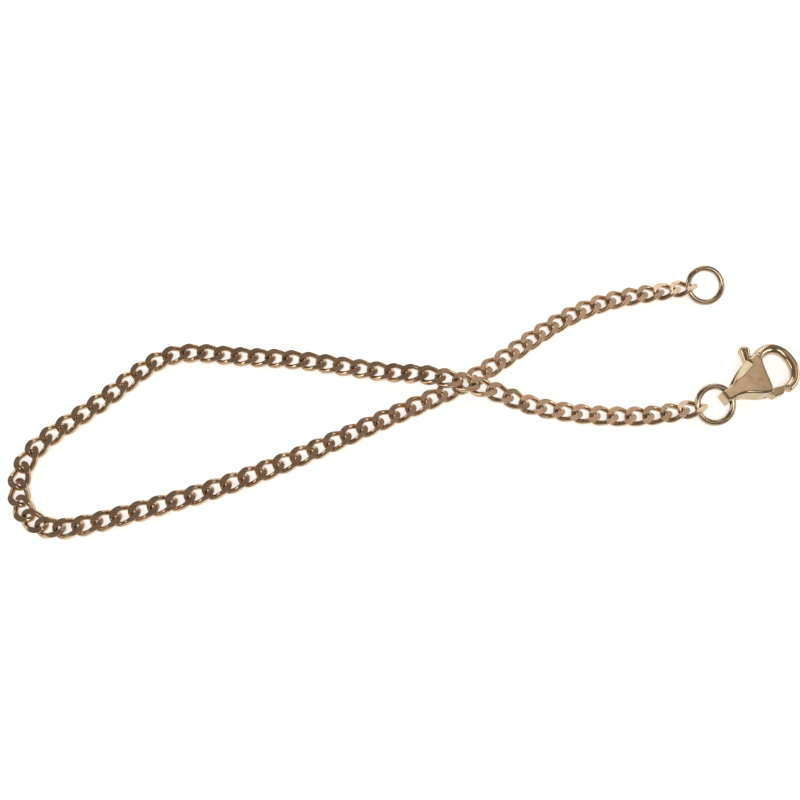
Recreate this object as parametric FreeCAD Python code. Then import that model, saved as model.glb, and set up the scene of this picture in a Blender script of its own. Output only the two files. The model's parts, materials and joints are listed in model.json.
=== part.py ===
import FreeCAD, Part
import math
import os

os.makedirs("parts", exist_ok=True)

Vector = FreeCAD.Vector

# ---- Chain of curb links (millimetres) ----
link_count = 85
pitch = 2.2                 # from one pivot to the next
wire = 0.68                 # wire diameter before filing
half_length = 1.52          # centreline half length of a link
half_width = 0.93           # centreline half width of a link
twist_height = 0.50         # how far the twisted wire rises and falls
chain_thickness = 1.06      # thickness left after both faces are filed flat
single_links = 12           # links at each end that stand as nodes of their own

# ---- Jump rings ----
ring_radius = 2.255         # centreline radius
ring_wire = 0.76
ring_tilt = 23.0            # degrees, the far side of each ring stands up
ring_reach = 2.90           # from the end link's centre to the ring's centre
ring_lift = 1.22            # height of each ring's centre
end_roll = 19.0             # degrees of roll of the last link beside a ring
roll_step = 6.0             # degrees less for each link away from the ring

# ---- Lobster clasp, in its own frame: +X from eye to claw, +Y towards the thumb nub ----
clasp_heading = 29.0        # degrees from +X
clasp_dip = 3.4             # degrees, nose down
eye_angle = 22.0            # where the eye hangs on its ring
eye_hole_radius = 0.74
eye_hole_flare = 0.25
body_half_thickness = 1.12
body_edge = 0.38            # rounded edge of the body
bevel_slope = 16.0          # degrees, the long bevels beside the thumb nub
slot_half = 0.62            # half height of the slot inside the body
lever_half = 0.54           # half thickness of the trigger lever
pin_x = 4.1
pin_y = -0.3
pin_radius = 0.32
pin_clearance = 0.04
gate_reach = 3.30           # from the pin to the end face of the gate
gate_gap = 0.09
spring_radius = 0.62
spring_wire = 0.16
spring_pitch = 0.19
spring_turns = 2

# ---- How the chain lies: the path of its centreline, end ring first ----
route_points = [
    (38.9, 16.4), (32.7, 15.6), (28.3, 14.7), (24.3, 13.2), (20.2, 10.9), (16.3, 8.1), (7.9, 2.3),
    (0.8, -1.2), (-7.2, -5), (-15, -8.6), (-22.9, -11.7), (-31.3, -14.3), (-36.4, -15.7),
    (-40, -16.2), (-42.8, -15.3), (-44.6, -13), (-45.3, -10.2), (-44.7, -7.2), (-42.6, -4.6),
    (-37.5, -0.4), (-33.1, 3.8), (-29.9, 6.2), (-26.3, 6.9), (-21.9, 6.5), (-14.2, 6), (-5.2, 4.7),
    (7.9, 2.3), (16.4, -0.4), (24.9, -1.8), (31.9, -1.8), (37.7, -0.9), (40.5, -0.5),
]
crossing = (7.9, 2.3)
hump_rise = 1.14            # the upper strand over the lower one
hump_half = 3.4             # length at full height either side of the crossing
hump_ramp = 6.6             # length of each slope
end_lift = 0.72             # rise of the chain's centreline at each ring
end_ramp = 9.5


def smooth(value):
    """Ease from 0 to 1."""
    value = max(0.0, min(1.0, value))
    return 0.5 - 0.5 * math.cos(math.pi * value)


def make_route():
    """The centreline seen from above, as a smooth curve."""
    curve = Part.BSplineCurve()
    curve.interpolate([Vector(x, y, 0) for x, y in route_points])
    return curve


def route_height(position, start, end, over_crossing):
    """Height of the chain's centreline at a point of the route."""
    height = chain_thickness / 2
    for corner in (start, end):
        height += end_lift * max(0.0, 1 - position.distanceToPoint(corner) / end_ramp) ** 2
    if over_crossing:
        away = position.distanceToPoint(Vector(crossing[0], crossing[1], 0))
        height += hump_rise * smooth(1 - (away - hump_half) / hump_ramp)
    return height


def lay_pivots():
    """Pivot points one pitch apart, from the end ring to the clasp ring."""
    curve = make_route()
    first = curve.FirstParameter
    last = curve.LastParameter
    start = curve.value(first)
    end = Vector(37.5, -0.9, 0)

    def point_at(parameter):
        flat = curve.value(parameter)
        over = parameter > first + 0.5 * (last - first)
        return flat + Vector(0, 0, route_height(flat, start, end, over))

    pivots = [point_at(first)]
    low = first
    for _ in range(link_count):
        near = low
        far = min(last, low + 0.04 * (last - first))
        for _ in range(48):
            middle = 0.5 * (near + far)
            if point_at(middle).distanceToPoint(pivots[-1]) < pitch:
                near = middle
            else:
                far = middle
        low = near
        pivots.append(point_at(near))
    return pivots


def frame_matrix(origin, forward, roll_degrees):
    """Placement with +X along forward, +Z upwards, then rolled about +X."""
    x_axis = Vector(forward)
    x_axis.normalize()
    y_axis = Vector(0, 0, 1).cross(x_axis)
    y_axis.normalize()
    z_axis = x_axis.cross(y_axis)
    turn = FreeCAD.Rotation(x_axis, y_axis, z_axis, "XYZ")
    roll = FreeCAD.Rotation(Vector(1, 0, 0), roll_degrees)
    return FreeCAD.Placement(origin, turn.multiply(roll))


def link_roll(index):
    """Roll of a link, which fades out away from the two rings."""
    from_end = min(index - 1, link_count - index)
    return -max(0.0, end_roll - roll_step * from_end)


def link_placement(index, pivots):
    """Placement of one link; its +X points to the nearer ring along the chain."""
    a = pivots[index - 1]
    b = pivots[index]
    forward = (b - a) if index > link_count // 2 else (a - b)
    return frame_matrix((a + b) * 0.5, forward, link_roll(index))


def spline_scale(count, harmonic):
    """How far out the poles of a periodic cubic spline lie, for a wave of a given harmonic."""
    return 6 / (4 + 2 * math.cos(2 * math.pi * harmonic / count))


def link_ring_of_poles(t, count_along, count_around):
    """Surface poles around the wire at one place along the link's centreline."""
    wide = spline_scale(count_along, 1)
    tall = spline_scale(count_along, 2)
    centre = Vector(wide * half_length * math.cos(t), wide * half_width * math.sin(t),
                    -tall * twist_height * math.sin(2 * t))
    along = Vector(-half_length * math.sin(t), half_width * math.cos(t),
                   -2 * twist_height * math.cos(2 * t))
    along.normalize()
    across = Vector(0, 0, 1).cross(along)
    across.normalize()
    over = along.cross(across)
    radius = spline_scale(count_around, 1) * wire / 2
    poles = []
    for step in range(count_around):
        angle = 2 * math.pi * step / count_around
        poles.append(centre + across * (radius * math.cos(angle)) + over * (radius * math.sin(angle)))
    return poles


def make_link():
    """A twisted oval of round wire with its top and bottom filed flat."""
    count_along = 24
    count_around = 8
    poles = []
    for step in range(count_along):
        poles.append(link_ring_of_poles(2 * math.pi * step / count_along, count_along, count_around))
    surface = Part.BSplineSurface()
    surface.buildFromPolesMultsKnots(
        poles, [1] * (count_along + 1), [1] * (count_around + 1),
        list(range(count_along + 1)), list(range(count_around + 1)), True, True, 3, 3)
    tube = Part.Solid(Part.Shell([surface.toShape()]))
    slab = Part.makeBox(6, 4, chain_thickness, Vector(-3, -2, -chain_thickness / 2))
    return tube.common(slab).Solids[0]


def placed(shape, placement):
    """A copy of a shape at a placement."""
    copy = shape.copy()
    copy.Placement = placement.multiply(copy.Placement)
    return copy


def ring_placement(link_place):
    """Placement of the jump ring that hangs on an end link."""
    forward = link_place.Rotation.multVec(Vector(1, 0, 0))
    forward.z = 0
    forward.normalize()
    centre = link_place.Base + forward * ring_reach
    centre.z = ring_lift
    return frame_matrix(centre, forward, ring_tilt)


def make_ring():
    """A plain round jump ring."""
    return Part.makeTorus(ring_radius, ring_wire / 2)


def clasp_placement(ring_place):
    """Placement of the clasp with its eye on the centreline of its ring."""
    angle = math.radians(eye_angle)
    local = Vector(ring_radius * math.cos(angle), ring_radius * math.sin(angle), 0)
    eye = ring_place.multVec(local)
    heading = math.radians(clasp_heading)
    dip = math.radians(clasp_dip)
    forward = Vector(math.cos(heading), math.sin(heading), -math.tan(dip))
    return frame_matrix(eye, forward, 0)


def prism(points, z_low, z_high):
    """A straight-sided prism over a closed outline."""
    corners = [Vector(x, y, z_low) for x, y in points]
    face = Part.Face(Part.makePolygon(corners + [corners[0]]))
    return face.extrude(Vector(0, 0, z_high - z_low))


def round_rims(solid, radius):
    """Round the edges around the top and bottom faces of a prism."""
    top = solid.BoundBox.ZMax
    bottom = solid.BoundBox.ZMin
    rims = []
    for edge in solid.Edges:
        box = edge.BoundBox
        if box.ZLength < 1e-6 and min(abs(box.ZMin - top), abs(box.ZMax - bottom)) < 1e-6:
            rims.append(edge)
    return solid.makeFillet(radius, rims)


def claw_section(point, direction, half_wide, half_tall):
    """An oval section across the claw."""
    across = Vector(0, 0, 1).cross(direction)
    across.normalize()
    points = []
    for step in range(16):
        t = 2 * math.pi * step / 16
        points.append(point + across * (half_wide * math.cos(t)) + Vector(0, 0, half_tall * math.sin(t)))
    curve = Part.BSplineCurve()
    curve.interpolate(Points=points, PeriodicFlag=True)
    return Part.Wire([curve.toShape()])


def make_claw():
    """The hooked claw, from the upper shoulder over the nose to its tip."""
    spine = Part.BSplineCurve()
    spine.interpolate([Vector(x, y, 0) for x, y in (
        (5.7, 2.25), (7.5, 2.85), (8.95, 2.72), (9.9, 1.8), (10.08, 0.4), (9.75, -0.95), (8.65, -2.2),
        (6.3, -2.7),
    )])
    sections = []
    stations = 13
    for step in range(stations):
        share = step / (stations - 1)
        parameter = spine.FirstParameter + share * (spine.LastParameter - spine.FirstParameter)
        tall = 0.95 - 0.33 * smooth(share / 0.45) - 0.07 * share
        wide = 0.72 - 0.16 * smooth(share)
        sections.append(claw_section(spine.value(parameter), spine.tangent(parameter)[0], wide, tall))
    return Part.makeLoft(sections, True, False)


def pin_cylinder(radius, z_low, z_high):
    """A cylinder on the trigger's pivot axis."""
    return Part.makeCylinder(radius, z_high - z_low, Vector(pin_x, pin_y, z_low))


def bevel_wedge(side):
    """Waste above the long sloping bevel on the nub's side of one face of the body."""
    wedge = Part.makeBox(5.3, 3, 2)
    along = math.degrees(math.atan2(1.2, 5.3))
    slope = FreeCAD.Rotation(Vector(1, 0, 0), -bevel_slope)
    turn = FreeCAD.Rotation(Vector(0, 0, 1), along).multiply(slope)
    wedge.Placement = FreeCAD.Placement(Vector(-0.6, 0.5, body_half_thickness), turn)
    return wedge if side > 0 else wedge.mirror(Vector(0, 0, 0), Vector(0, 0, 1))


def make_clasp_body():
    """Tapered body with an eye at its tail, a slot for the trigger and the claw."""
    outline = [(-1.15, -0.74), (-1.15, 0.74), (0.5, 0.9), (0.9, 1.07), (2.9, 2.14), (4.3, 2.75), (5.9, 2.98),
               (6.5, 2.2), (6.3, 1.7), (5.85, 0.8), (5.4, -0.5), (4.95, -1.8), (4.7, -2.42), (3.9, -2.28),
               (2.2, -1.32), (0.8, -0.78)]
    body = round_rims(prism(outline, -body_half_thickness, body_half_thickness), body_edge)
    body = body.cut(bevel_wedge(1)).cut(bevel_wedge(-1))
    body = body.fuse(make_claw())
    slot = [(2.75, -0.58), (2.75, 0.95), (1.35, 0.62), (1.35, 4.0), (5.65, 4.0), (5.65, 1.5), (7.0, 1.2),
            (7.0, -3.4), (4.69, -3.4)]
    body = body.cut(prism(slot, -slot_half, slot_half))
    sweep = gate_reach + gate_gap
    near_tip = prism([(4.9, -3.8), (5.1, -1.2), (7.0, -1.4), (8.0, -3.8)], -1.5, 1.5)
    body = body.cut(near_tip.common(pin_cylinder(sweep, -1.5, 1.5)).cut(prism(outline, -1.5, 1.5)))
    hole = Part.makeCylinder(eye_hole_radius, 4, Vector(0, -2, 0), Vector(0, 1, 0))
    body = body.cut(hole)
    for side in (-1, 1):
        mouth = Part.makeCone(eye_hole_radius, eye_hole_radius + 2 * eye_hole_flare, 2 * eye_hole_flare,
                              Vector(0, side * 0.52, 0), Vector(0, side, 0))
        body = body.cut(mouth)
    body = body.cut(pin_cylinder(pin_radius, -2, 2))
    return body


def make_pin():
    """The rivet pin through both cheeks of the body."""
    return pin_cylinder(pin_radius, -body_half_thickness, body_half_thickness)


def make_trigger():
    """Lever with the gate on one side of the pin and the thumb nub on the other."""
    lever = [(3.25, 0.05), (4.1, 2.6), (4.75, 4.1), (5.9, 4.0), (5.35, 3.0), (5.0, 1.3), (5.0, 0.3), (4.8, -0.9),
             (5.0, -1.8), (8.0, -2.45), (8.0, -3.25), (5.6, -3.1), (4.6, -2.95), (3.5, -1.35)]
    arm = prism(lever, -lever_half, lever_half)
    reach = pin_cylinder(gate_reach, -1, 1)
    keep = reach.fuse(prism([(2.5, -1), (2.5, 6), (7, 6), (7, -1)], -1, 1))
    arm = arm.common(keep)
    thumb = Part.makeCylinder(0.74, 1.7, Vector(5.45, 3.98, -0.85))
    thumb = thumb.makeFillet(0.45, [edge for edge in thumb.Edges if edge.BoundBox.ZLength < 1e-6])
    trigger = arm.fuse(thumb)
    trigger = trigger.cut(pin_cylinder(pin_radius + pin_clearance, -2, 2))
    recess = pin_cylinder(0.95, 0.0, 2).common(prism([(2.5, -2), (2.5, 1), (5.5, 1), (5.5, -2)], 0, 2))
    return trigger.cut(recess)


def make_spring():
    """Return spring coiled around the pin inside the body."""
    per_turn = 16
    count_around = 8
    stations = per_turn * spring_turns + 1
    poles = []
    for station in range(stations):
        turn = 2 * math.pi * station / per_turn
        outward = Vector(math.cos(turn), math.sin(turn), 0)
        centre = outward * (spline_scale(per_turn, 1) * spring_radius)
        centre += Vector(pin_x, pin_y, 0.12 + spring_pitch * station / per_turn)
        radius = spline_scale(count_around, 1) * spring_wire / 2
        row = []
        for step in range(count_around):
            angle = 2 * math.pi * step / count_around
            row.append(centre + outward * (radius * math.cos(angle)) + Vector(0, 0, radius * math.sin(angle)))
        poles.append(row)
    surface = Part.BSplineSurface()
    surface.buildFromPolesMultsKnots(
        poles, [4] + [1] * (stations - 4) + [4], [1] * (count_around + 1),
        list(range(stations - 2)), list(range(count_around + 1)), False, True, 3, 3)
    tube = surface.toShape()
    ends = [Part.Face(Part.Wire([edge])) for edge in tube.Edges if edge.isClosed()]
    shell = Part.makeShell([tube] + ends)
    shell.sewShape()
    return Part.makeSolid(shell)


def node_groups():
    """Which links share a node: single at both ends, in pairs between."""
    groups = [[index] for index in range(1, single_links + 1)]
    pairs_end = link_count - single_links + 1
    for index in range(single_links + 1, pairs_end, 2):
        groups.append([index, index + 1])
    groups += [[index] for index in range(pairs_end + 1, link_count + 1)]
    return groups


def node_name(group):
    """Name of the node that holds a group of links."""
    if len(group) == 1:
        return "link_%02d" % group[0]
    return "links_%02d_%02d" % (group[0], group[1])


def build_pieces():
    """Every node's shape, with the chain laid out along its route."""
    pivots = lay_pivots()
    link = make_link()
    ring = make_ring()
    end_ring_place = ring_placement(link_placement(1, pivots))
    clasp_ring_place = ring_placement(link_placement(link_count, pivots))
    clasp_place = clasp_placement(clasp_ring_place)
    pieces = {}
    pieces["end_ring"] = placed(ring, end_ring_place)
    for group in node_groups():
        solids = [placed(link, link_placement(index, pivots)) for index in group]
        pieces[node_name(group)] = solids[0] if len(solids) == 1 else Part.makeCompound(solids)
    pieces["clasp_ring"] = placed(ring, clasp_ring_place)
    pieces["clasp_body"] = placed(make_clasp_body(), clasp_place)
    pieces["clasp_pin"] = placed(make_pin(), clasp_place)
    pieces["clasp_trigger"] = placed(make_trigger(), clasp_place)
    pieces["clasp_spring"] = placed(make_spring(), clasp_place)
    return pieces


def centre_shift(pieces):
    """Move that brings the middle of the layout's underside to the origin."""
    box = FreeCAD.BoundBox()
    for shape in pieces.values():
        box.add(shape.optimalBoundingBox(False))
    return Vector(-box.Center.x, -box.Center.y, -box.ZMin)


pieces = build_pieces()
shift = centre_shift(pieces)
for name, shape in pieces.items():
    shape.translate(shift)
    shape.exportStep(os.path.join("parts", name + ".step"))
    print(name, shape.isValid(), len(shape.Solids), round(shape.Volume, 3))
print("shift", shift, "pieces", len(pieces))
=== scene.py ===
import json
import math

import bmesh
import bpy
import numpy as np
from mathutils import Matrix, Vector


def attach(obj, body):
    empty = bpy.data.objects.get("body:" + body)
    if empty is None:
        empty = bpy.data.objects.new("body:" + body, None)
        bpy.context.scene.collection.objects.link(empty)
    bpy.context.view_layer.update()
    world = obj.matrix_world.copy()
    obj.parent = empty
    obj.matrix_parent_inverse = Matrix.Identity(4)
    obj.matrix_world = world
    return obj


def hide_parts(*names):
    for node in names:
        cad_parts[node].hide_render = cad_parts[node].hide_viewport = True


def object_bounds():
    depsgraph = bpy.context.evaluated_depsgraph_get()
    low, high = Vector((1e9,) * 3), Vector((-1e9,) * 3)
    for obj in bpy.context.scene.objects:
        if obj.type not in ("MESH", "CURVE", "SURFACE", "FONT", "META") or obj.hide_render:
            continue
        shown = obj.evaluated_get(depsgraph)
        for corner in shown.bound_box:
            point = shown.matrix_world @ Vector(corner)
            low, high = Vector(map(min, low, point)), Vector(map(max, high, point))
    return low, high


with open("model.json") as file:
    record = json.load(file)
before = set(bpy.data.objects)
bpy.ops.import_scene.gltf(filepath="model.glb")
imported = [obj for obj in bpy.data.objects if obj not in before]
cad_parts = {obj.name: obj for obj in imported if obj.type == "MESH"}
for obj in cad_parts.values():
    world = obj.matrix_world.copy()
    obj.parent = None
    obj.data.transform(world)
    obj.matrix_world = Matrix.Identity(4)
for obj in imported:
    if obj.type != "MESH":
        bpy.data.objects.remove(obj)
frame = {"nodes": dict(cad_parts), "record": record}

cad_bounds = [list(corner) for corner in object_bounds()]
MM = 0.001

# ---------------------------------------------------------------- sizes (mm)
LINK_LENGTH = 1.52      # centreline half length
LINK_WIDTH = 0.93       # centreline half width
LINK_TWIST = 0.50       # rise and fall of the centreline
LINK_WIRE = 0.332       # wire radius
LINK_THICK = 1.020      # filed thickness
LINK_EDGE = 0.035       # softened edge round each filed face
RING_RADIUS = 2.255     # centreline radius
RING_WIRE = 0.379       # wire radius
SEAM_DEPTH = 0.03       # groove where a ring's ends meet
SEAM_WIDTH = 0.035


# ---------------------------------------------------------------- materials
def new_material(name):
    material = bpy.data.materials.new(name)
    material.use_nodes = True
    tree = material.node_tree
    tree.nodes.clear()
    output = tree.nodes.new("ShaderNodeOutputMaterial")
    shader = tree.nodes.new("ShaderNodeBsdfPrincipled")
    tree.links.new(shader.outputs["BSDF"], output.inputs["Surface"])
    return material, tree, shader


def noise(tree, vector, scale, detail=3.0, rough=0.55):
    node = tree.nodes.new("ShaderNodeTexNoise")
    node.inputs["Scale"].default_value = scale
    node.inputs["Detail"].default_value = detail
    node.inputs["Roughness"].default_value = rough
    tree.links.new(vector, node.inputs["Vector"])
    return node.outputs["Fac"]


def ramp(tree, value, stops):
    node = tree.nodes.new("ShaderNodeValToRGB")
    elements = node.color_ramp.elements
    while len(elements) < len(stops):
        elements.new(0.5)
    for element, (position, colour) in zip(elements, stops):
        element.position = position
        element.color = (*colour, 1.0)
    tree.links.new(value, node.inputs["Fac"])
    return node.outputs["Color"]


def spread(tree, value, low, high, out_low, out_high):
    node = tree.nodes.new("ShaderNodeMapRange")
    node.inputs["From Min"].default_value = low
    node.inputs["From Max"].default_value = high
    node.inputs["To Min"].default_value = out_low
    node.inputs["To Max"].default_value = out_high
    tree.links.new(value, node.inputs["Value"])
    return node.outputs["Result"]


TONE_SCALE = 900.0      # per metre, patches of lighter and darker alloy
MARK_DEPTH = 0.02 * MM


def polished(name, light, dark, rough_low, rough_high, scratch, grain, stretch=(1, 1, 1)):
    """Polished metal: tone drifts from place to place, with fine wear marks in its polish."""
    material, tree, shader = new_material(name)
    shader.inputs["Metallic"].default_value = 1.0
    place = tree.nodes.new("ShaderNodeTexCoord")
    mapping = tree.nodes.new("ShaderNodeMapping")
    mapping.inputs["Scale"].default_value = stretch
    tree.links.new(place.outputs["Object"], mapping.inputs["Vector"])
    tone = noise(tree, place.outputs["Object"], TONE_SCALE, 2.0)
    tree.links.new(ramp(tree, tone, [(0.30, dark), (0.62, light)]), shader.inputs["Base Color"])
    wear = noise(tree, mapping.outputs["Vector"], grain, 4.0, 0.6)
    tree.links.new(spread(tree, wear, 0.35, 0.68, rough_low, rough_high), shader.inputs["Roughness"])
    marks = noise(tree, mapping.outputs["Vector"], grain * 2.3, 3.0, 0.7)
    bump = tree.nodes.new("ShaderNodeBump")
    bump.inputs["Strength"].default_value = scratch
    bump.inputs["Distance"].default_value = MARK_DEPTH
    tree.links.new(marks, bump.inputs["Height"])
    tree.links.new(bump.outputs["Normal"], shader.inputs["Normal"])
    return material


CHAIN = polished("chain_gold_polished", (0.62, 0.46, 0.31), (0.42, 0.30, 0.19), 0.13, 0.26, 0.18, 2600.0)
# The filed faces get a lighter gold than the round wire, a painted sheen on the flat faces; their rougher
# polish and grain along the cut are the real filed finish.
FILED_AND_SHEEN = polished("chain_gold_filed_and_sheen", (0.70, 0.52, 0.37), (0.55, 0.40, 0.28), 0.17, 0.34, 0.22, 2200.0,
                 stretch=(0.25, 1.6, 1))
RING = polished("ring_gold", (0.52, 0.42, 0.29), (0.36, 0.28, 0.19), 0.13, 0.25, 0.18, 1800.0)
CLASP = polished("clasp_gold", (0.60, 0.48, 0.33), (0.55, 0.43, 0.29), 0.11, 0.19, 0.10, 1400.0)
TRIGGER = polished("trigger_gold", (0.62, 0.49, 0.33), (0.52, 0.41, 0.27), 0.14, 0.26, 0.14, 1400.0)
PIN = polished("pin_gold", (0.58, 0.46, 0.32), (0.50, 0.39, 0.27), 0.14, 0.24, 0.2, 1500.0)
STEEL = polished("spring_steel", (0.62, 0.62, 0.63), (0.48, 0.48, 0.50), 0.22, 0.36, 0.2, 3000.0)


# ---------------------------------------------------------------- mesh helpers
def object_from(name, vertices, faces, material, smooth=True):
    mesh = bpy.data.meshes.new(name)
    mesh.from_pydata([tuple(v) for v in vertices], [], [tuple(f) for f in faces])
    mesh.materials.append(material)
    mesh.polygons.foreach_set("use_smooth", [smooth] * len(mesh.polygons))
    mesh.update()
    obj = bpy.data.objects.new(name, mesh)
    bpy.context.scene.collection.objects.link(obj)
    return obj


def closed_grid(rows):
    """Vertices and quads of a surface that closes on itself both ways."""
    count, around = rows.shape[:2]
    faces = []
    for i in range(count):
        for j in range(around):
            a = i * around + j
            b = i * around + (j + 1) % around
            c = ((i + 1) % count) * around + (j + 1) % around
            d = ((i + 1) % count) * around + j
            faces.append((a, d, c, b))
    return rows.reshape(-1, 3), faces


def link_surface():
    """A twisted oval of round wire, before filing."""
    count, around = 88, 28
    t = np.arange(count) * 2 * np.pi / count
    centre = np.stack([LINK_LENGTH * np.cos(t), LINK_WIDTH * np.sin(t), -LINK_TWIST * np.sin(2 * t)], 1)
    along = np.stack([-LINK_LENGTH * np.sin(t), LINK_WIDTH * np.cos(t), -2 * LINK_TWIST * np.cos(2 * t)], 1)
    along /= np.linalg.norm(along, axis=1)[:, None]
    across = np.cross([0, 0, 1], along)
    across /= np.linalg.norm(across, axis=1)[:, None]
    over = np.cross(along, across)
    angle = np.arange(around) * 2 * np.pi / around
    rows = (centre[:, None] + LINK_WIRE * (across[:, None] * np.cos(angle)[None, :, None]
                                           + over[:, None] * np.sin(angle)[None, :, None]))
    return closed_grid(rows * MM)


def link_mesh():
    """One curb link: twisted wire, filed flat above and below."""
    vertices, faces = link_surface()
    mesh = bpy.data.meshes.new("curb_link")
    mesh.from_pydata([tuple(v) for v in vertices], [], faces)
    shape = bmesh.new()
    shape.from_mesh(mesh)
    bmesh.ops.recalc_face_normals(shape, faces=shape.faces)
    for side in (1, -1):
        cut = bmesh.ops.bisect_plane(
            shape, geom=shape.verts[:] + shape.edges[:] + shape.faces[:], dist=1e-7,
            plane_co=(0, 0, side * LINK_THICK / 2 * MM), plane_no=(0, 0, side), clear_outer=True)
        rim = [item for item in cut["geom_cut"] if isinstance(item, bmesh.types.BMEdge)]
        made = bmesh.ops.holes_fill(shape, edges=rim, sides=0)
        for face in made["faces"]:
            face.material_index = 1
    for face in shape.faces:
        face.smooth = face.material_index == 0
    weight = shape.edges.layers.float.new("bevel_weight_edge")
    for edge in shape.edges:
        on_rim = len({face.material_index for face in edge.link_faces}) == 2
        edge.smooth = not on_rim
        edge[weight] = float(on_rim)
    shape.to_mesh(mesh)
    shape.free()
    mesh.materials.append(CHAIN)
    # filed faces: real filed finish, with a lighter gold as painted sheen
    mesh.materials.append(FILED_AND_SHEEN)
    return mesh


def bevel(obj, width):
    modifier = obj.modifiers.new("edge", "BEVEL")
    modifier.limit_method = "WEIGHT"
    modifier.width = width
    modifier.segments = 2
    modifier.material = 0


# ---------------------------------------------------------------- frames read from the CAD solids
def islands(obj):
    """Vertex positions and triangles of each separate solid in a node's mesh."""
    mesh = obj.data
    mesh.calc_loop_triangles()
    points = np.array([tuple(v.co) for v in mesh.vertices])
    _, same = np.unique(np.round(points, 8), axis=0, return_inverse=True)
    same = same.reshape(-1)
    parent = list(range(same.max() + 1))

    def root(i):
        while parent[i] != i:
            parent[i] = parent[parent[i]]
            i = parent[i]
        return i

    triangles = np.array([tuple(t.vertices) for t in mesh.loop_triangles])
    for a, b, c in same[triangles]:
        parent[root(b)] = root(a)
        parent[root(c)] = root(a)
    label = np.array([root(same[t[0]]) for t in triangles])
    groups = [triangles[label == key] for key in np.unique(label)]
    return points, sorted(groups, key=lambda group: tuple(points[group].mean((0, 1))))


def solid_frame(points, triangles):
    """Centre and principal axes of a closed solid, longest first, as a matrix."""
    a, b, c = points[triangles[:, 0]], points[triangles[:, 1]], points[triangles[:, 2]]
    reference = points[triangles].mean((0, 1))
    a, b, c = a - reference, b - reference, c - reference
    volume = np.einsum("ij,ij->i", a, np.cross(b, c)) / 6
    centre = (volume[:, None] * (a + b + c) / 4).sum(0) / volume.sum()
    total = a + b + c
    moment = sum(np.einsum("i,ij,ik->jk", volume, p, p) for p in (a, b, c, total)) / 20
    moment -= volume.sum() * np.outer(centre, centre)
    if volume.sum() < 0:
        moment = -moment
    values, vectors = np.linalg.eigh(moment)
    x_axis, y_axis = Vector(vectors[:, 2]), Vector(vectors[:, 1])
    z_axis = x_axis.cross(y_axis)
    matrix = Matrix((x_axis, y_axis, z_axis)).transposed().to_4x4()
    matrix.translation = Vector(centre + reference)
    return matrix


# ---------------------------------------------------------------- chain
def build_chain():
    mesh = link_mesh()
    for name, node in frame["nodes"].items():
        if not name.startswith("link"):
            continue
        points, groups = islands(node)
        body = next(b for b, nodes in frame["record"]["behaviour"]["bodies"].items() if name in nodes)
        for number, group in zip(name.split("_")[1:], groups):
            own = mesh.copy()
            own.transform(solid_frame(points, group))
            obj = bpy.data.objects.new("curb_%s_%s" % (name, number), own)
            bpy.context.scene.collection.objects.link(obj)
            bevel(obj, LINK_EDGE * MM)
            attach(obj, body)
            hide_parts(name)


# ---------------------------------------------------------------- rings
def build_ring(node_name, seam_angle):
    """Jump ring of round wire, with the fine line where its ends meet."""
    count, around = 240, 32
    t = np.arange(count) * 2 * np.pi / count
    angle = np.arange(around) * 2 * np.pi / around
    gap = np.abs((t - seam_angle + np.pi) % (2 * np.pi) - np.pi) * RING_RADIUS
    radius = RING_WIRE - SEAM_DEPTH * np.exp(-(gap / SEAM_WIDTH) ** 2)
    ring = RING_RADIUS + radius[:, None] * np.cos(angle)[None]
    rows = np.stack([ring * np.cos(t)[:, None], ring * np.sin(t)[:, None],
                     radius[:, None] * np.sin(angle)[None] * np.ones((count, 1))], 2)
    vertices, faces = closed_grid(rows * MM)
    obj = object_from("round_" + node_name, vertices, faces, RING)
    points, groups = islands(frame["nodes"][node_name])
    frame_matrix = solid_frame(points, groups[0])
    normal = frame_matrix.to_3x3().col[2]
    if normal.z < 0:
        normal = -normal
    x_axis = Vector((1, 0, 0))
    x_axis = (x_axis - normal * x_axis.dot(normal)).normalized()
    matrix = Matrix((x_axis, normal.cross(x_axis), normal)).transposed().to_4x4()
    matrix.translation = frame_matrix.translation
    obj.data.transform(matrix)
    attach(obj, node_name)
    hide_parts(node_name)


# ---------------------------------------------------------------- clasp, as smooth solids
def smooth_min(a, b, k):
    h = np.clip(0.5 + 0.5 * (b - a) / k, 0, 1)
    return b + (a - b) * h - k * h * (1 - h)


def smooth_max(a, b, k):
    return -smooth_min(-a, -b, k)


def polygon_distance(x, y, corners):
    """Signed distance to a closed outline, negative inside."""
    best = np.full(x.shape, 1e9)
    inside = np.zeros(x.shape, bool)
    for (ax, ay), (bx, by) in zip(corners, corners[1:] + corners[:1]):
        ex, ey = bx - ax, by - ay
        wx, wy = x - ax, y - ay
        share = np.clip((wx * ex + wy * ey) / (ex * ex + ey * ey), 0, 1)
        best = np.minimum(best, (wx - share * ex) ** 2 + (wy - share * ey) ** 2)
        if ay != by:
            crosses = (ay > y) != (by > y)
            inside ^= crosses & (x < (y - ay) / (by - ay) * ex + ax)
    distance = np.sqrt(best)
    return np.where(inside, -distance, distance)


def curve_through(points, count):
    """Smooth open curve through points (Catmull-Rom), as an array."""
    p = np.array([points[0]] + list(points) + [points[-1]], float)
    out = []
    spans = len(points) - 1
    for index in range(count):
        s = index / (count - 1) * spans
        i = min(int(s), spans - 1)
        u = s - i
        a, b, c, d = p[i], p[i + 1], p[i + 2], p[i + 3]
        out.append(0.5 * (2 * b + (c - a) * u + (2 * a - 5 * b + 4 * c - d) * u * u
                          + (3 * b - a - 3 * c + d) * u ** 3))
    return np.array(out)


def slab(outline_distance, z, half, rounding):
    """Outline extruded to a thickness, with rounded rims."""
    q1 = outline_distance + rounding
    q2 = np.abs(z) - half + rounding
    return np.minimum(np.maximum(q1, q2), 0) + np.hypot(np.maximum(q1, 0), np.maximum(q2, 0)) - rounding


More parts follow.
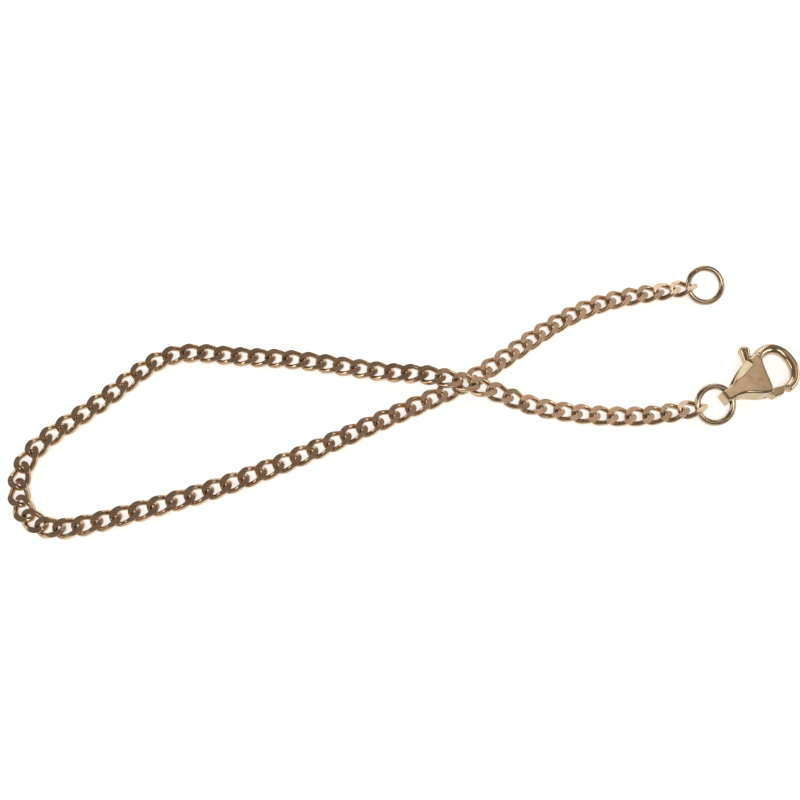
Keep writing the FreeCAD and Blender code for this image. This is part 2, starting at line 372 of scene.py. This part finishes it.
def tube_distance(x, y, z, path):
    """Distance to a run of balls along a path of (x, y, radius across, radius tall)."""
    best = np.full(x.shape, 1e9)
    for a, b in zip(path[:-1], path[1:]):
        ex, ey = b[0] - a[0], b[1] - a[1]
        share = np.clip(((x - a[0]) * ex + (y - a[1]) * ey) / (ex * ex + ey * ey), 0, 1)
        wide = a[2] + (b[2] - a[2]) * share
        tall = a[3] + (b[3] - a[3]) * share
        flat = np.hypot(x - a[0] - share * ex, y - a[1] - share * ey)
        reach = np.sqrt((flat / wide) ** 2 + (z / tall) ** 2)
        best = np.minimum(best, (reach - 1) * np.minimum(wide, tall))
    return best


def cylinder_z(x, y, radius):
    """Distance to a cylinder about the trigger's pin."""
    return np.hypot(x - PIN_X, y - PIN_Y) - radius


def step_to_surface(field, vertices, e):
    """Newton step from each vertex to where the field is zero; e is the half width of its slope."""
    x, y, z = vertices.T
    gradient = np.stack([field(x + e, y, z) - field(x - e, y, z),
                         field(x, y + e, z) - field(x, y - e, z),
                         field(x, y, z + e) - field(x, y, z - e)], 1) / (2 * e)
    size = np.maximum((gradient ** 2).sum(1), 0.05)
    return -(field(x, y, z) / size)[:, None] * gradient


def surface_net(field, low, high, step):
    """Quad surface where the field is zero, inside the box."""
    axes = [np.arange(a, b + step, step) for a, b in zip(low, high)]
    x, y, z = np.meshgrid(*axes, indexing="ij")
    values = field(x, y, z)
    sign = values < 0
    shape = np.array(values.shape) - 1
    total = np.zeros((*shape, 3))
    hits = np.zeros(tuple(shape))
    corner = [(i, j, k) for i in (0, 1) for j in (0, 1) for k in (0, 1)]

    def part(array, offset):
        return array[tuple(slice(start, start + length) for start, length in zip(offset, shape))]

    for a in corner:
        for axis in range(3):
            if a[axis]:
                continue
            b = tuple(a[n] + (n == axis) for n in range(3))
            va, vb = part(values, a), part(values, b)
            crossing = part(sign, a) != part(sign, b)
            share = np.where(crossing, va / np.where(crossing, va - vb, 1), 0)
            for n in range(3):
                total[..., n] += np.where(crossing, a[n] + (share if n == axis else 0), 0)
            hits += crossing
    used = hits > 0
    number = np.full(tuple(shape), -1)
    number[used] = np.arange(used.sum())
    cell = np.argwhere(used)
    vertices = (cell + total[used] / hits[used][:, None]) * step + np.array(low)
    faces = []
    for axis in range(3):
        u, v = (axis + 1) % 3, (axis + 2) % 3
        take = [slice(1, n) for n in shape]
        take[axis] = slice(0, shape[axis])
        here = sign[tuple(take)]
        shifted = list(take)
        shifted[axis] = slice(1, shape[axis] + 1)
        there = sign[tuple(shifted)]
        for flip in (False, True):
            found = np.argwhere((here & ~there) if not flip else (~here & there))
            if not len(found):
                continue
            base = found + 1
            base[:, axis] -= 1
            quad = []
            for du, dv in ((1, 1), (0, 1), (0, 0), (1, 0)):
                where = base.copy()
                where[:, u] -= du
                where[:, v] -= dv
                quad.append(number[where[:, 0], where[:, 1], where[:, 2]])
            quad = np.stack(quad, 1)
            faces.append(quad[:, ::-1] if flip else quad)
    faces = np.concatenate(faces)
    for _ in range(2):
        vertices = vertices + np.clip(step_to_surface(field, vertices, step * 0.2), -step * 0.5, step * 0.5)
    return vertices, faces


# The clasp's own frame, in mm: origin at the eye's centre, x along the body to the claw, y to the nub's side.
PIN_X, PIN_Y = 4.1, -0.3
PIN_BORE = 0.36         # radius of the trigger's hole
GATE_REACH = 3.29       # from the pin to the gate's end
GATE_GAP = 0.10         # from the gate's end to the claw's tip
EYE_BORE = 0.75
EYE_HALF = 0.92         # half thickness at the eye
BODY_HALF = 1.11        # half thickness where the body is fullest
BODY_ROUND = 0.34       # rounding of the body's rims
SLOT_HALF = 0.61
LEVER_HALF = 0.54
LEVER_ROUND = 0.14
CLAW_BALLS, STEM_BALLS = 44, 16
FINE_STEP, QUICK_STEP = 0.055, 0.09

OUTLINE = [(-1.15, -0.74), (-1.15, 0.74), (0.3, 0.86), (0.9, 1.07), (1.9, 1.6), (2.9, 2.14), (4.3, 2.72),
           (5.9, 2.95), (6.45, 2.25), (6.2, 1.6), (5.8, 0.75), (5.4, -0.5), (4.95, -1.8), (4.66, -2.36),
           (3.9, -2.25), (3.0, -1.86), (2.2, -1.36), (1.4, -0.95), (0.6, -0.77)]
CLAW = [(5.1, 1.85), (6.3, 2.5), (7.6, 2.88), (8.95, 2.7), (9.85, 1.8), (10.06, 0.4), (9.7, -0.95),
        (8.6, -2.18), (7.25, -2.62)]
RIDGE_START, RIDGE_END = (-0.6, 0.5), (4.75, 1.78)
SLOT = [(2.75, -0.58), (2.75, 0.95), (1.35, 0.62), (1.35, 4.0), (5.65, 4.0), (5.65, 1.5), (7.0, 1.2),
        (7.0, -3.4), (4.69, -3.4)]
MOUTH = [(4.9, -3.8), (5.1, -1.2), (7.0, -1.4), (8.0, -3.8)]
LEVER = [(3.25, 0.05), (4.05, 2.55), (5.2, 2.7), (5.0, 1.3), (5.0, 0.3), (4.8, -0.9), (4.95, -1.75),
         (8.0, -2.40), (8.0, -3.15), (5.6, -3.05), (4.6, -2.9), (3.5, -1.35)]
STEM = [(4.7, 1.9), (5.05, 2.85), (5.4, 3.7), (5.55, 4.02)]


def bevel_field(x, y, z):
    """The sloped faces on the nub's side of a ridge that runs from the eye to the claw's root."""
    run = math.hypot(RIDGE_END[0] - RIDGE_START[0], RIDGE_END[1] - RIDGE_START[1])
    ux, uy = (RIDGE_END[0] - RIDGE_START[0]) / run, (RIDGE_END[1] - RIDGE_START[1]) / run
    along = (x - RIDGE_START[0]) * ux + (y - RIDGE_START[1]) * uy
    bow = 0.16 * np.sin(np.pi * np.clip(along / run, 0, 1))
    away = (y - RIDGE_START[1]) * ux - (x - RIDGE_START[0]) * uy + bow
    slope = (np.abs(z) - BODY_HALF) * 0.955 + np.minimum(away, 1.6) * 0.30
    past_end = along - run
    return np.where(past_end < 0.6, slope - np.maximum(past_end, 0) * 0.9, -9.0)


def claw_field(x, y, z):
    """The hook, deepest just past its root and slimmer to its tip."""
    path = curve_through(CLAW, CLAW_BALLS)
    share = np.linspace(0, 1, CLAW_BALLS)
    rise = np.clip(share / 0.16, 0, 1)
    ease = np.clip((share - 0.12) / 0.40, 0, 1)
    ease = ease * ease * (3 - 2 * ease)
    wide = 0.69 + 0.04 * np.sin(np.pi * np.clip(share * 2.2, 0, 1)) - 0.10 * share ** 2
    tall = 0.76 + 0.24 * rise - 0.34 * ease - 0.07 * share
    return tube_distance(x, y, z, np.column_stack([path, wide, tall]))


def clasp_body_field(x, y, z):
    """Bevelled body with its claw, less the lever's slot, the gate's mouth and the eye."""
    outline = polygon_distance(x, y, OUTLINE)
    half = EYE_HALF + (BODY_HALF - EYE_HALF) * np.clip((x + 0.9) / 3.2, 0, 1)
    body = slab(outline, z, half, BODY_ROUND)
    body = smooth_max(body, bevel_field(x, y, z), 0.05)
    solid = smooth_min(body, claw_field(x, y, z), 0.26)
    slot_cut = slab(polygon_distance(x, y, SLOT), z, SLOT_HALF, 0.04)
    solid = smooth_max(solid, -slot_cut, 0.05)
    swept = np.maximum(polygon_distance(x, y, MOUTH), cylinder_z(x, y, GATE_REACH + GATE_GAP))
    solid = smooth_max(solid, -np.maximum(swept, 0.02 - outline), 0.12)
    flare = np.hypot(x, z) - (EYE_BORE + np.maximum(np.abs(y) - 0.5, 0) * 0.9)
    return smooth_max(solid, -flare, 0.08)


def trigger_field(x, y, z):
    """Lever plate with its gate's end trimmed to an arc, a hole for the pin, and a flared nub."""
    plate = slab(polygon_distance(x, y, LEVER), z, LEVER_HALF, LEVER_ROUND)
    trimmed = smooth_max(plate, np.minimum(cylinder_z(x, y, GATE_REACH), -1 - y), 0.10)
    arm = np.where(y > -1, plate, trimmed)
    arm = smooth_max(arm, -cylinder_z(x, y, PIN_BORE), 0.04)
    share = np.linspace(0, 1, STEM_BALLS)
    path = np.column_stack([curve_through(STEM, STEM_BALLS), 0.54 + 0.19 * share, 0.52 + 0.28 * share])
    return smooth_min(arm, tube_distance(x, y, z, path), 0.15)


def clasp_matrix():
    """Clasp frame in the row frame: eye centre, axis to the claw, side of the nub."""
    joints = {joint["name"]: joint for joint in frame["record"]["behaviour"]["joints"]}
    z_axis = Vector(joints["trigger_turn"]["axis"]).normalized()
    y_axis = -Vector(joints["clasp_swing"]["axis"]).normalized()
    x_axis = y_axis.cross(z_axis).normalized()
    y_axis = z_axis.cross(x_axis)
    matrix = Matrix((x_axis, y_axis, z_axis)).transposed().to_4x4()
    matrix.translation = Vector(joints["clasp_swing"]["pos_m"])
    return matrix


def build_clasp():
    step = FINE_STEP
    place = clasp_matrix()
    vertices, faces = surface_net(clasp_body_field, (-1.4, -3.7, -1.4), (11.5, 4.0, 1.4), step)
    body = object_from("cast_clasp_body", vertices * MM, faces, CLASP)
    body.data.transform(place)
    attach(body, "clasp_body")
    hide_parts("clasp_body")
    vertices, faces = surface_net(trigger_field, (2.9, -3.5, -1.1), (8.2, 5.2, 1.1), step)
    trigger = object_from("cast_clasp_trigger", vertices * MM, faces, TRIGGER)
    trigger.data.transform(place)
    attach(trigger, "clasp_trigger")
    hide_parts("clasp_trigger")
    for name, material in (("clasp_pin", PIN), ("clasp_spring", STEEL)):
        slots = frame["nodes"][name].data.materials
        slots.clear()
        slots.append(material)


# ---------------------------------------------------------------- floor, light, camera (metres)
FLOOR_HALF = 3.0
FLOOR_DROP = 0.00002    # keeps the floor just under the chain
CAMERA_ELEVATION = math.radians(66.0)
CAMERA_DISTANCE = 0.1006
CAMERA_SHIFT = Vector((-0.00186, -0.0003, 0.0))     # from the part's centre to the point looked at


def build_floor():
    material, tree, shader = new_material("floor_paper")
    shader.inputs["Roughness"].default_value = 0.8
    shader.inputs["Specular IOR Level"].default_value = 0.2
    shader.inputs["Emission Color"].default_value = (1.0, 1.0, 1.0, 1)
    shader.inputs["Emission Strength"].default_value = 0.55
    place = tree.nodes.new("ShaderNodeTexCoord")
    tone = noise(tree, place.outputs["Object"], 60.0, 3.0)
    tree.links.new(ramp(tree, tone, [(0.2, (0.90, 0.895, 0.885)), (0.8, (0.93, 0.93, 0.925))]),
                   shader.inputs["Base Color"])
    corners = [(x * FLOOR_HALF, y * FLOOR_HALF, 0) for x, y in ((-1, -1), (1, -1), (1, 1), (-1, 1))]
    floor = object_from("floor", corners,
                        [(0, 1, 2, 3)], material, smooth=False)
    floor.location.z = -FLOOR_DROP


def area_light(name, position, width, height, radiance, colour=(1, 1, 1)):
    """Soft box of even brightness that faces the origin; its power follows from its area."""
    data = bpy.data.lights.new(name, "AREA")
    data.shape = "RECTANGLE"
    data.size = width
    data.size_y = height
    data.energy = radiance * math.pi * width * height
    data.color = colour
    light = bpy.data.objects.new(name, data)
    light.location = position
    light.rotation_euler = (-Vector(position)).to_track_quat("-Z", "Y").to_euler()
    bpy.context.scene.collection.objects.link(light)


def build_lights():
    world = bpy.data.worlds.new("studio")
    world.use_nodes = True
    background = world.node_tree.nodes["Background"]
    background.inputs["Color"].default_value = (1.0, 0.83, 0.68, 1)
    background.inputs["Strength"].default_value = 0.20
    bpy.context.scene.world = world
    area_light("top_front", (0.0, -0.46, 1.0), 1.2, 0.42, 2.6)
    area_light("top_right", (0.33, 0.47, 1.0), 0.46, 0.60, 0.56, (1.0, 0.87, 0.77))
    area_light("far_right", (0.77, 0.56, 1.0), 0.42, 0.62, 0.16, (1.0, 0.90, 0.80))
    area_light("back_right", (0.35, 1.15, 0.80), 0.70, 0.42, 1.3)
    area_light("side_left", (-1.15, 0.1, 0.42), 1.0, 0.28, 3.0)
    area_light("side_right", (1.15, 0.1, 0.42), 1.0, 0.28, 3.0)
    area_light("back", (0.0, 1.3, 0.36), 1.4, 0.26, 3.0)


def build_camera():
    """Camera above the near side, looking down at the chain."""
    low, high = (Vector(corner) for corner in cad_bounds)
    centre = (low + high) / 2
    target = Vector((centre.x, centre.y, 0.0)) + CAMERA_SHIFT
    data = bpy.data.cameras.new("camera")
    data.lens = 36.0
    data.sensor_width = 36.0
    data.clip_start = 0.005
    camera = bpy.data.objects.new("camera", data)
    away = Vector((0, -math.cos(CAMERA_ELEVATION), math.sin(CAMERA_ELEVATION)))
    camera.location = target + away * CAMERA_DISTANCE
    camera.rotation_euler = (-away).to_track_quat("-Z", "Y").to_euler()
    bpy.context.scene.collection.objects.link(camera)
    bpy.context.scene.camera = camera


build_camera()
build_floor()
build_lights()
build_chain()
build_ring("end_ring", 2.2)
build_ring("clasp_ring", 4.1)
build_clasp()
bpy.context.scene.view_settings.view_transform = "Standard"
